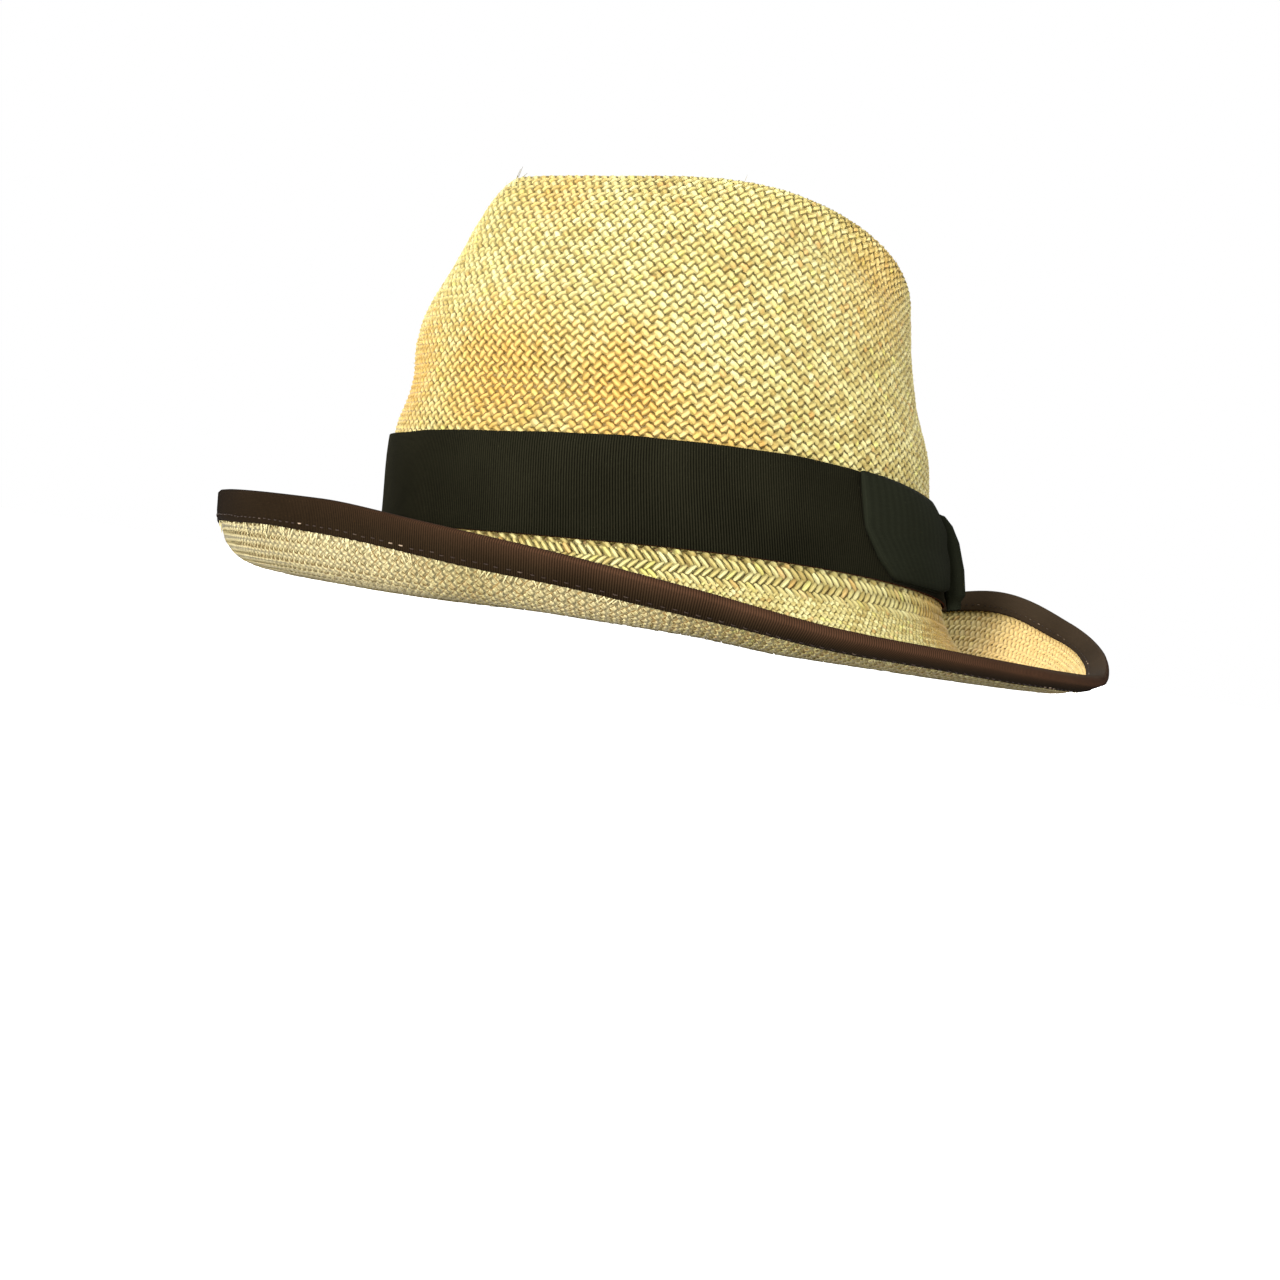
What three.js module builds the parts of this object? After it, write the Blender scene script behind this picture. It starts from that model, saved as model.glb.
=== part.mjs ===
import * as THREE from 'three';

// A woven straw hat with a pinched, creased crown, a ribbon band with a flat bow, and a brim that is
// curled up all round and bound with ribbon. Millimetres, +Z up. The wearer faces -Y, the wearer's left
// is +X. Angles go round the hat in degrees, from the front (0) over the wearer's left (90) to the back.
// Heights in the tables are measured from the brim line, where the crown meets the brim.

// ---- driving dimensions ----

const wall = 1.8;            // woven straw
const ribbon = 0.8;          // grosgrain ribbon of the band
const bindingRibbon = 0.6;   // ribbon folded over the brim's edge
const gap = 0.3;             // between pieces that lie on each other
const brimLine = 22.8;       // height of the brim line above the surface the hat rests on
const footHalfWidth = 3.5;   // half of the flat stretch along the bottom of the brim
const stepsRound = 56;       // facets round the hat

// The crown's sections, from the brim line (way 0) over the crest of the rim to the middle of the top.
// Each is an oval: half its length and half its width, how far its centre leans forward, how much the
// front is pinched in on both sides, how far it arches up at the sides and down at front and back, and
// how much of the crest's rise and fall it takes.
const crownSections = [
  { way: 0.00, height: 0, length: 98.9, width: 83.4, lean: 0, pinch: 0, arch: 2.8, crest: 0 },
  { way: 0.18, height: 31, length: 94.4, width: 79.0, lean: 6.4, pinch: 0, arch: 4.2, crest: 0 },
  { way: 0.30, height: 50, length: 92.0, width: 76.4, lean: 7.5, pinch: 0, arch: 3.4, crest: 0.14 },
  { way: 0.42, height: 70, length: 86.2, width: 72.8, lean: 10.1, pinch: 0.01, arch: 2.4, crest: 0.43 },
  { way: 0.54, height: 88, length: 81.0, width: 70.1, lean: 9.9, pinch: 0.05, arch: 1.3, crest: 0.69 },
  { way: 0.64, height: 103, length: 77.2, width: 67.9, lean: 8.8, pinch: 0.09, arch: 0.4, crest: 0.9 },
  { way: 0.70, height: 110, length: 72.4, width: 66.5, lean: 6.8, pinch: 0.11, arch: 0, crest: 1 },
  { way: 0.73, height: 109.6, length: 70.0, width: 64.0, lean: 6.8, pinch: 0.11, arch: 0, crest: 1 },
  { way: 0.76, height: 106.8, length: 66.8, width: 60.8, lean: 6.8, pinch: 0.11, arch: 0, crest: 1 },
  { way: 0.80, height: 101.5, length: 62.3, width: 56.3, lean: 6.8, pinch: 0.10, arch: 0, crest: 1 },
  { way: 0.84, height: 99.5, length: 56.8, width: 50.8, lean: 6.8, pinch: 0.08, arch: 0, crest: 1 },
  { way: 0.88, height: 101.2, length: 49.0, width: 43.5, lean: 6.8, pinch: 0.05, arch: 0, crest: 1 },
  { way: 0.93, height: 104.5, length: 33.0, width: 29.0, lean: 6.8, pinch: 0.02, arch: 0, crest: 1 },
  { way: 1.00, height: 106, length: 0, width: 0, lean: 6.8, pinch: 0, arch: 0, crest: 1 },
];
const crestWay = 0.70;
const crestRise = { front: 0.3, side: 1.6, back: -20 };   // the crest's height at front, side and back
const pinchAngle = 36;       // middle of each front pinch
const pinchSpread = 40;

// Dents pushed into the crown's wall, at the same places on both sides: a negative depth bulges out, and
// spread and reach are how far each goes round and up and down.
const dents = [
  { name: 'hollow above the band', angle: 32, spread: 40, height: 43, reach: 14, slope: -0.2, depth: 4.5 },
  { name: 'ridge over the hollow', angle: 34, spread: 40, height: 66, reach: 14, slope: -0.2, depth: -1.5 },
  { name: 'hollow under the rim', angle: 95, spread: 42, height: 100, reach: 9, slope: -0.05, depth: 2.5 },
  { name: 'pinch beside the peak', angle: 15, spread: 14, height: 101, reach: 9, slope: 0, depth: 2 },
];

const rightDentShare = 0.5;  // the dents on the wearer's right are this much as deep
const dentBlend = 0.35;      // the sine of the angle over which one side's depth turns into the other's

// The brim: how far it stands out, the depth of its trough, the height of its edge, how steeply the edge
// stands up, in degrees, and how full the curl is.
const brimSections = [
  { angle: 0, overhang: 49.5, trough: -21, edge: -1, tip: 88, fill: 1.4 },
  { angle: 15, overhang: 49.5, trough: -21, edge: -1, tip: 88, fill: 1.4 },
  { angle: 30, overhang: 49.5, trough: -20.5, edge: -3.2, tip: 82, fill: 1.35 },
  { angle: 45, overhang: 50, trough: -19.5, edge: -5.8, tip: 68, fill: 1.25 },
  { angle: 60, overhang: 50.5, trough: -19.5, edge: -9.5, tip: 54, fill: 1.1 },
  { angle: 75, overhang: 51, trough: -21, edge: -13.6, tip: 38, fill: 1 },
  { angle: 90, overhang: 52, trough: -21, edge: -14.8, tip: 31, fill: 1 },
  { angle: 110, overhang: 53, trough: -21, edge: -15.6, tip: 25, fill: 1 },
  { angle: 130, overhang: 54.5, trough: -21, edge: -14.4, tip: 30, fill: 1 },
  { angle: 145, overhang: 55.5, trough: -20, edge: -6, tip: 45, fill: 1 },
  { angle: 160, overhang: 56, trough: -18.5, edge: 2.5, tip: 58, fill: 1 },
  { angle: 180, overhang: 56, trough: -18, edge: 11.5, tip: 66, fill: 1 },
];
const troughPlace = 0.52;    // where along the overhang the trough lies
const footStart = 0.45;      // the flat foot along the trough, as a share of the brim's measure
const footEnd = 0.55;
const breakDrop = 7;         // how far the brim falls below the brim line before it turns out
const breakOut = 0.8;        // how far it has moved out by then
const fallEase = 0.45;       // how long the curves of the fall, the rise and the standing edge pull
const riseEase = 0.55;
const edgeEase = 0.48;

// The ribbon band covers this much of the way up, and the binding this much of the brim's curl.
const bandBottomWay = 0.006;
const bandTopWay = 0.18;
const bindingReach = 0.91;

// One loop of the bow: degrees away from the knot, lowest and highest edge as a share of the band's
// width, and how thick the folded ribbon is there.
const knotAngle = 141.5;
const bowStep = 2.6;         // degrees between the sections of a loop
const bowLoop = [
  { away: 3.6, low: 0.26, high: 0.80, swell: 2.6 },
  { away: 9, low: 0.13, high: 0.91, swell: 3.6 },
  { away: 17, low: 0.05, high: 0.97, swell: 4.0 },
  { away: 28, low: 0.03, high: 0.99, swell: 3.2 },
  { away: 37, low: 0.05, high: 1, swell: 2.4 },
  { away: 40.5, low: 0.20, high: 1, swell: 1.8 },
  { away: 43.5, low: 0.46, high: 1, swell: 1 },
];
// The knot's wrap, from the end that hangs below the band to its top.
const bowKnot = [
  { up: -0.07, halfAngle: 1.9, swell: 5 },
  { up: 0.05, halfAngle: 2.4, swell: 6 },
  { up: 0.35, halfAngle: 3.0, swell: 7.4 },
  { up: 0.65, halfAngle: 3.0, swell: 7 },
  { up: 0.85, halfAngle: 2.8, swell: 5.4 },
  { up: 0.97, halfAngle: 2.4, swell: 3.2 },
];

// ---- the surface of the hat ----

const radians = THREE.MathUtils.degToRad;

// A smooth curve through one column of a table that never overshoots its rows, read at a place in its
// key column.
function along(table, key, column, place, levelEnds) {
  const last = table.length - 1;
  const x = table.map((row) => row[key]);
  const y = table.map((row) => row[column]);
  const slope = x.map((_, i) => {
    if (i === 0 || i === last) {
      const [from, to] = i === 0 ? [0, 1] : [last - 1, last];
      return levelEnds ? 0 : (y[to] - y[from]) / (x[to] - x[from]);
    }
    const before = x[i] - x[i - 1];
    const after = x[i + 1] - x[i];
    const slopeBefore = (y[i] - y[i - 1]) / before;
    const slopeAfter = (y[i + 1] - y[i]) / after;
    if (slopeBefore * slopeAfter <= 0) return 0;
    const steepest = 3 * Math.min(Math.abs(slopeBefore), Math.abs(slopeAfter));
    const mean = (slopeBefore * after + slopeAfter * before) / (before + after);
    return THREE.MathUtils.clamp(mean, -steepest, steepest);
  });
  let i = 0;
  while (i < last - 1 && place > x[i + 1]) i += 1;
  const step = x[i + 1] - x[i];
  const t = Math.min(Math.max((place - x[i]) / step, 0), 1);
  return (2 * t ** 3 - 3 * t ** 2 + 1) * y[i] + (t ** 3 - 2 * t ** 2 + t) * step * slope[i]
    + (3 * t ** 2 - 2 * t ** 3) * y[i + 1] + (t ** 3 - t ** 2) * step * slope[i + 1];
}

// 1 in the middle, falling smoothly to 0 at a distance of 1.
function bump(distance) {
  return (1 - Math.min(Math.abs(distance), 1) ** 2) ** 2;
}

function fromFront(angle) {
  const turned = ((angle % 360) + 360) % 360;
  return turned > 180 ? 360 - turned : turned;
}

function ovalHeight(angle, { front, side, back }, share) {
  const twice = (front + back) / 4 - side / 2;
  return side + twice + share * (front - back) / 2 * Math.cos(radians(angle))
    + share ** 2 * twice * Math.cos(2 * radians(angle));
}

function crownPoint(angle, way) {
  const column = (name) => along(crownSections, 'way', name, way, false);
  const turn = radians(angle);
  const length = column('length');
  const height = column('height');
  const pinched = 1 - column('pinch') * bump((fromFront(angle) - pinchAngle) / pinchSpread);
  const crestLength = crownSections.find((row) => row.way === crestWay).length;
  const share = way > crestWay ? length / crestLength : 1;
  const point = new THREE.Vector3(
    column('width') * pinched * Math.sin(turn),
    -length * pinched * Math.cos(turn) - column('lean'),
    height - column('arch') * Math.cos(2 * turn) + column('crest') * ovalHeight(angle, crestRise, share),
  );
  if (way < crestWay) {
    let depth = 0;
    for (const dent of dents) {
      const off = fromFront(angle) - dent.angle;
      const level = (height - dent.height - dent.slope * off) / dent.reach;
      depth += dent.depth * bump(off / dent.spread) * bump(level);
    }
    const leftward = THREE.MathUtils.clamp(Math.sin(turn) / dentBlend, -1, 1);
    const sideShare = THREE.MathUtils.mapLinear(leftward, -1, 1, rightDentShare, 1);
    const inward = new THREE.Vector3(-point.x, -point.y, 0).normalize();
    point.addScaledVector(inward, depth * sideShare);
  }
  return point;
}

// reach runs from 0 at the brim line to 1 at the brim's edge, with the trough in the middle.
function brimPoint(angle, reach) {
  const column = (name) => along(brimSections, 'angle', name, fromFront(angle), true);
  const turn = radians(angle);
  const start = crownPoint(angle, 0);
  const foot = { out: column('overhang') * troughPlace, height: column('trough') };
  const edge = { out: column('overhang'), height: column('edge') };
  const tip = radians(column('tip'));
  const pull = (edge.out - foot.out) * column('fill');
  const fall = [
    [0, start.z],
    [breakOut, start.z - breakDrop],
    [foot.out * fallEase, foot.height],
    [foot.out - footHalfWidth, foot.height],
  ];
  const rise = [
    [foot.out + footHalfWidth, foot.height],
    [foot.out + pull * riseEase, foot.height],
    [edge.out - pull * edgeEase * Math.cos(tip), edge.height - pull * edgeEase * Math.sin(tip)],
    [edge.out, edge.height],
  ];
  const isFalling = reach <= (footStart + footEnd) / 2;
  const [a, b, c, d] = isFalling ? fall : rise;
  const t = isFalling ? Math.min(reach / footStart, 1) : Math.max((reach - footEnd) / (1 - footEnd), 0);
  const bezier = (k) => (1 - t) ** 3 * a[k] + 3 * (1 - t) ** 2 * t * b[k]
    + 3 * (1 - t) * t ** 2 * c[k] + t ** 3 * d[k];
  const straw = crownSections[0];
  return new THREE.Vector3(
    (straw.width + bezier(0)) * Math.sin(turn),
    -(straw.length + bezier(0)) * Math.cos(turn),
    bezier(1),
  );
}

// One measure for the whole skin: from -1 at the brim's edge over 0 at the brim line to 1 on the top.
function skinPoint(angle, place) {
  return place < 0 ? brimPoint(angle, -place) : crownPoint(angle, place);
}

function skinNormal(angle, place) {
  const nudge = 0.004;
  const turnNudge = 0.5;
  if (place > 1 - nudge) return new THREE.Vector3(0, 0, 1);
  const low = skinPoint(angle, Math.max(place - nudge, -1));
  const high = skinPoint(angle, place + nudge);
  const before = skinPoint(angle - turnNudge, place);
  const after = skinPoint(angle + turnNudge, place);
  return after.sub(before).cross(high.sub(low)).normalize();
}

function skinOffset(angle, place, distance) {
  return skinPoint(angle, place).addScaledVector(skinNormal(angle, place), distance);
}

// ---- making closed solids ----

function solid(points, triangles) {
  let volume = 0;
  for (const [a, b, c] of triangles) {
    volume += points[a].dot(new THREE.Vector3().crossVectors(points[b], points[c]));
  }
  const facing = volume > 0 ? triangles : triangles.map(([a, b, c]) => [a, c, b]);
  const geometry = new THREE.BufferGeometry().setFromPoints(points);
  geometry.setIndex(facing.flat());
  geometry.computeVertexNormals();
  return geometry;
}

// Sections of equally many points, joined one to the next. A ring joins the last to the first, and
// anything else is closed by a flat cap at each end.
function loft(sections, isRing) {
  const count = sections[0].length;
  const points = sections.flat();
  const triangles = [];
  const spans = isRing ? sections.length : sections.length - 1;
  for (let i = 0; i < spans; i += 1) {
    const here = i * count;
    const next = ((i + 1) % sections.length) * count;
    for (let j = 0; j < count; j += 1) {
      const k = (j + 1) % count;
      triangles.push([here + j, next + j, next + k], [here + j, next + k, here + k]);
    }
  }
  if (!isRing) {
    const end = (sections.length - 1) * count;
    for (let j = 1; j < count - 1; j += 1) {
      triangles.push([0, j, j + 1], [end, end + j + 1, end + j]);
    }
  }
  return solid(points, triangles);
}

const anglesRound = Array.from({ length: stepsRound }, (_, i) => i * 360 / stepsRound);

// ---- the pieces ----

// The rows of facets, from the brim's edge to the brim line and from there to the middle of the top.
const bindingPlaces = [-1, -(1 + bindingReach) / 2, -bindingReach];
const brimPlaces = [...bindingPlaces, -0.83, -0.75, -0.65, -footEnd, -footStart, -0.34, -0.22, -0.10];
const crownPlaces = [0, 0.06, 0.12, 0.18, 0.24, 0.30, 0.36, 0.42, 0.48, 0.54, 0.60, 0.65, 0.70,
  0.73, 0.76, 0.80, 0.84, 0.88, 0.93];

// Crown and brim are one woven body: an outer and an inner skin that meet along the brim's edge.
function strawBody() {
  const places = [...brimPlaces, ...crownPlaces];
  const count = places.length;
  const points = [];
  for (const depth of [0, -wall]) {
    for (const angle of anglesRound) {
      for (const place of places) points.push(skinOffset(angle, place, depth));
    }
  }
  const skinSize = stepsRound * count;
  const middle = [points.length, points.length + 1];
  points.push(skinOffset(0, 1, 0), skinOffset(0, 1, -wall));
  const triangles = [];
  for (let i = 0; i < stepsRound; i += 1) {
    const here = i * count;
    const next = ((i + 1) % stepsRound) * count;
    for (let j = 0; j < count - 1; j += 1) {
      const [a, b, c, d] = [here + j, next + j, next + j + 1, here + j + 1];
      triangles.push([a, b, c], [a, c, d]);
      const [e, f, g, h] = [a, b, c, d].map((corner) => corner + skinSize);
      triangles.push([h, f, e], [h, g, f]);
    }
    const rims = [here + count - 1, next + count - 1];
    triangles.push([rims[0], rims[1], middle[0]]);
    triangles.push([rims[1] + skinSize, rims[0] + skinSize, middle[1]]);
    triangles.push([here, skinSize + here, skinSize + next], [here, skinSize + next, next]);
  }
  return solid(points, triangles);
}

function hatBand() {
  const places = [bandBottomWay, 0.06, 0.12, bandTopWay];
  return loft(anglesRound.map((angle) => [
    ...places.map((place) => skinOffset(angle, place, gap + ribbon)),
    ...places.toReversed().map((place) => skinOffset(angle, place, gap)),
  ]), true);
}

// Ribbon folded over the edge of the brim: along the upper skin, round the edge and along the lower one.
function brimBinding() {
  const inside = wall / 2 + gap;
  const outside = inside + bindingRibbon;
  const foldRounding = 0.55;
  const places = bindingPlaces.toReversed();
  return loft(anglesRound.map((angle) => {
    const edge = skinOffset(angle, -1, -wall / 2);
    const up = skinNormal(angle, -1);
    const out = edge.clone().sub(skinOffset(angle, -0.99, -wall / 2)).normalize();
    const around = (away, height) => edge.clone().addScaledVector(out, away).addScaledVector(up, height);
    const side = (distance) => places.map((place) => skinOffset(angle, place, distance - wall / 2));
    return [
      ...side(outside),
      around(gap + bindingRibbon, outside * foldRounding),
      around(gap + bindingRibbon, -outside * foldRounding),
      ...side(-outside).reverse(),
      ...side(-inside),
      around(gap, -inside),
      around(gap, inside),
      ...side(inside).reverse(),
    ];
  }), true);
}

// A point over the band: up is a share of the band's width, out is measured from the band's face.
function overBand(angle, up, out) {
  const place = (share) => bandBottomWay + (bandTopWay - bandBottomWay) * share;
  const within = Math.min(Math.max(up, 0), 1);
  const bottom = skinPoint(angle, place(0));
  const top = skinPoint(angle, place(1));
  return skinOffset(angle, place(within), gap + ribbon + out)
    .addScaledVector(top.sub(bottom), up - within);
}

// The upper half of a folded ribbon's rounded section, from the face on the band to the outer face: how
// far inside the upper edge, as a share of the rounding, and how far out, as a share of the swell.
const foldProfile = [
  { inside: 1, out: 0 },
  { inside: 0, out: 0.3 },
  { inside: 0.4, out: 0.8 },
  { inside: 2, out: 1 },
];
const foldRoundingMost = 0.12;

function foldedSection(angle, low, high, swell) {
  const rounding = Math.min(foldRoundingMost, (high - low) / 4);
  const point = (edge, inward, out) => overBand(angle, edge + inward * rounding, gap + swell * out);
  return [
    ...foldProfile.map((row) => point(high, -row.inside, row.out)),
    ...foldProfile.toReversed().map((row) => point(low, row.inside, row.out)),
  ];
}

function bowLoopSolid(direction) {
  const first = bowLoop[0].away;
  const last = bowLoop.at(-1).away;
  const steps = Math.ceil((last - first) / bowStep);
  const sections = Array.from({ length: steps + 1 }, (_, i) => {
    const away = first + (last - first) * i / steps;
    const column = (name) => along(bowLoop, 'away', name, away, false);
    return foldedSection(knotAngle + direction * away, column('low'), column('high'), column('swell'));
  });
  return loft(sections, false);
}

// Half of the knot's section, from its middle outwards: how far sideways and how far out.
const knotProfile = [
  { across: 0.5, out: 1 },
  { across: 1, out: 0.6 },
  { across: 1, out: 0 },
];
const knotSeat = 0.55;       // from the band to the knot's inner face

function bowKnotSolid() {
  return loft(bowKnot.map(({ up, halfAngle, swell }) => {
    const point = (row, side) => {
      return overBand(knotAngle + side * row.across * halfAngle, up, knotSeat + swell * row.out);
    };
    return [
      ...knotProfile.toReversed().map((row) => point(row, -1)),
      ...knotProfile.map((row) => point(row, 1)),
    ];
  }), false);
}

// ---- the hat ----

const strawFinish = new THREE.MeshStandardMaterial({ color: '#d9bd74', roughness: 0.75, metalness: 0 });
const bandFinish = new THREE.MeshStandardMaterial({ color: '#1d1d18', roughness: 0.7, metalness: 0 });
const bindingFinish = new THREE.MeshStandardMaterial({ color: '#3d2419', roughness: 0.65, metalness: 0 });

const group = new THREE.Group();
const hat = new THREE.Group();

function addPiece(name, geometry, material) {
  const piece = new THREE.Mesh(geometry, material);
  piece.name = name;
  hat.add(piece);
}

addPiece('straw_body', strawBody(), strawFinish);
addPiece('hat_band', hatBand(), bandFinish);
addPiece('brim_binding', brimBinding(), bindingFinish);
addPiece('bow_front_loop', bowLoopSolid(-1), bandFinish);
addPiece('bow_back_loop', bowLoopSolid(1), bandFinish);
addPiece('bow_knot', bowKnotSolid(), bandFinish);

// The brim is wider behind than in front, so the hat moves forward to centre it over the origin.
const frontOverhang = brimSections[0].overhang;
const backOverhang = brimSections.at(-1).overhang;
hat.position.set(0, (frontOverhang - backOverhang) / 2, brimLine);
group.add(hat);

export default group;
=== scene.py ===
import math

import bpy
import numpy as np
from mathutils import Matrix, Vector


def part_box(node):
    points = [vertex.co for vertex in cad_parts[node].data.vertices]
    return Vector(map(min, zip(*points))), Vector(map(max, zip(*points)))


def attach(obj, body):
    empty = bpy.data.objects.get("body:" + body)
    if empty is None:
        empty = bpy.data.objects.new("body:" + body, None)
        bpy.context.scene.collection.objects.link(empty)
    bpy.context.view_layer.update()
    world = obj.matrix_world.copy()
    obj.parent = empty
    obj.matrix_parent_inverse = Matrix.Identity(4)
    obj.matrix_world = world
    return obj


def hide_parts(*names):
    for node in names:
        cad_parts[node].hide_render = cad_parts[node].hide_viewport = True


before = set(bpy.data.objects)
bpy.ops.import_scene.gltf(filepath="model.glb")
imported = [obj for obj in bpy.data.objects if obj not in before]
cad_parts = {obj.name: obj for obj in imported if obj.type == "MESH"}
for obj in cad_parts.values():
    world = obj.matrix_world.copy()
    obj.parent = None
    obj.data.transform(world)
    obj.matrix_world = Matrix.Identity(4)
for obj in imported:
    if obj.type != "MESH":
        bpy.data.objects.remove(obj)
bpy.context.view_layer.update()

# A woven straw hat with a ribbon band, a flat bow and a bound brim. The hat's form is worked out in
# millimetres from the same tables as the solids, and every mesh is turned into metres when it is made.

bodyName = "root"
metre = 1000.0                    # in millimetres
chance = np.random.default_rng(7)

# The hat's form, in millimetres and in degrees round from the front.
form = {
    "wall": 1.8,            # woven straw
    "ribbon": 0.8,          # band ribbon
    "bindingRibbon": 0.6,
    "gap": 0.3,             # between the straw and what lies on it
    "troughPlace": 0.52,    # lowest part of the brim, as a share of its overhang
    "footStart": 0.45,      # flat foot along the trough, as shares of the way to the edge
    "footEnd": 0.55,
    "flatHalf": 3.5,        # half the foot's width
    "breakDrop": 7.0,       # handle of the curve where the brim leaves the crown
    "breakOut": 0.8,
    "fallEase": 0.45,       # handles of the brim's two curves, as shares of their widths
    "riseEase": 0.55,
    "edgeEase": 0.48,
    "crestWay": 0.70,       # the crown's upper edge
    "crestRise": (0.3, 1.6, -20.0),   # front, side, back
    "pinchAngle": 36.0,
    "pinchSpread": 40.0,
    "rightDentShare": 0.5,  # depth of the dents on the wearer's right
    "dentBlend": 0.35,
    "bandBottom": 0.006,    # places on the crown
    "bandTop": 0.18,
    "bindingReach": 0.91,   # the binding's inner edge, as a place on the brim
    "knotAngle": 141.5,
    "placeStep": 0.004,     # for the slope of the skin
    "angleStep": 0.5,
    "levelPlace": 0.996,    # the top is level from here on
}
# Rings of the crown. Their way runs from the brim line to the middle of the top.
crownTable = {
    "way": [0, 0.18, 0.30, 0.42, 0.54, 0.64, 0.70, 0.73, 0.76, 0.80, 0.84, 0.88, 0.93, 1],
    "height": [0, 31, 50, 70, 88, 103, 110, 109.6, 106.8, 101.5, 99.5, 101.2, 104.5, 106],
    "length": [98.9, 94.4, 92, 86.2, 81, 77.2, 72.4, 70, 66.8, 62.3, 56.8, 49, 33, 0],
    "width": [83.4, 79, 76.4, 72.8, 70.1, 67.9, 66.5, 64, 60.8, 56.3, 50.8, 43.5, 29, 0],
    "lean": [0, 6.4, 7.5, 10.1, 9.9, 8.8, 6.8, 6.8, 6.8, 6.8, 6.8, 6.8, 6.8, 6.8],
    "pinch": [0, 0, 0, 0.01, 0.05, 0.09, 0.11, 0.11, 0.11, 0.10, 0.08, 0.05, 0.02, 0],
    "arch": [2.8, 4.2, 3.4, 2.4, 1.3, 0.4, 0, 0, 0, 0, 0, 0, 0, 0],
    "crest": [0, 0, 0.14, 0.43, 0.69, 0.9, 1, 1, 1, 1, 1, 1, 1, 1],
}
# Sections of the brim. The tip is the slope of its edge in degrees.
brimTable = {
    "angle": [0, 15, 30, 45, 60, 75, 90, 110, 130, 145, 160, 180],
    "overhang": [49.5, 49.5, 49.5, 50, 50.5, 51, 52, 53, 54.5, 55.5, 56, 56],
    "trough": [-21, -21, -20.5, -19.5, -19.5, -21, -21, -21, -21, -20, -18.5, -18],
    "edge": [-1, -1, -3.2, -5.8, -9.5, -13.6, -14.8, -15.6, -14.4, -6, 2.5, 11.5],
    "tip": [88, 88, 82, 68, 54, 38, 31, 25, 30, 45, 58, 66],
    "fill": [1.4, 1.4, 1.35, 1.25, 1.1, 1, 1, 1, 1, 1, 1, 1],
}
dents = [
    {"angle": 32, "spread": 40, "height": 43, "reach": 14, "slope": -0.2, "depth": 4.5},
    {"angle": 34, "spread": 40, "height": 66, "reach": 14, "slope": -0.2, "depth": -1.5},
    {"angle": 95, "spread": 42, "height": 100, "reach": 9, "slope": -0.05, "depth": 2.5},
    {"angle": 15, "spread": 14, "height": 101, "reach": 9, "slope": 0, "depth": 2},
]


# A smooth curve through a column of a table, which never swings past the column's own values.
def along(table, key, column, place, levelEnds=False):
    x = np.array(table[key], float)
    y = np.array(table[column], float)
    step = np.diff(x)
    rise = np.diff(y) / step
    slope = np.zeros(len(x))
    mean = (rise[:-1] * step[1:] + rise[1:] * step[:-1]) / (step[:-1] + step[1:])
    steepest = 3 * np.minimum(abs(rise[:-1]), abs(rise[1:]))
    slope[1:-1] = np.where(rise[:-1] * rise[1:] > 0, np.clip(mean, -steepest, steepest), 0)
    if not levelEnds:
        slope[0], slope[-1] = rise[0], rise[-1]
    i = np.clip(np.searchsorted(x, place, side="right") - 1, 0, len(x) - 2)
    t = np.clip((place - x[i]) / step[i], 0, 1)
    return ((2 * t**3 - 3 * t**2 + 1) * y[i] + (t**3 - 2 * t**2 + t) * step[i] * slope[i]
            + (3 * t**2 - 2 * t**3) * y[i + 1] + (t**3 - t**2) * step[i] * slope[i + 1])


# A rounded hill that is 1 in its middle and 0 from a distance of 1.
def bump(distance):
    return (1 - np.clip(abs(distance), 0, 1) ** 2) ** 2


def fromFront(angle):
    turned = np.mod(angle, 360.0)
    return np.where(turned > 180, 360 - turned, turned)


def crownPoint(angle, way):
    column = {name: along(crownTable, "way", name, way) for name in crownTable if name != "way"}
    turn = np.radians(angle)
    pinched = 1 - column["pinch"] * bump((fromFront(angle) - form["pinchAngle"]) / form["pinchSpread"])
    front, side, back = form["crestRise"]
    crestLength = crownTable["length"][crownTable["way"].index(form["crestWay"])]
    share = np.where(way > form["crestWay"], column["length"] / crestLength, 1)
    twice = (front + back) / 4 - side / 2
    crest = side + twice + share * (front - back) / 2 * np.cos(turn) + share**2 * twice * np.cos(2 * turn)
    x = column["width"] * pinched * np.sin(turn)
    y = -column["length"] * pinched * np.cos(turn) - column["lean"]
    z = column["height"] - column["arch"] * np.cos(2 * turn) + column["crest"] * crest
    depth = np.zeros_like(x)
    for dent in dents:
        off = fromFront(angle) - dent["angle"]
        level = (column["height"] - dent["height"] - dent["slope"] * off) / dent["reach"]
        depth += dent["depth"] * bump(off / dent["spread"]) * bump(level)
    leftward = np.clip(np.sin(turn) / form["dentBlend"], -1, 1)
    depth = depth * (1 - (1 - form["rightDentShare"]) * (1 - leftward) / 2)
    depth = np.where(way < form["crestWay"], depth, 0) / np.maximum(np.hypot(x, y), 1e-6)
    return np.stack([x - x * depth, y - y * depth, z], -1)


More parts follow.
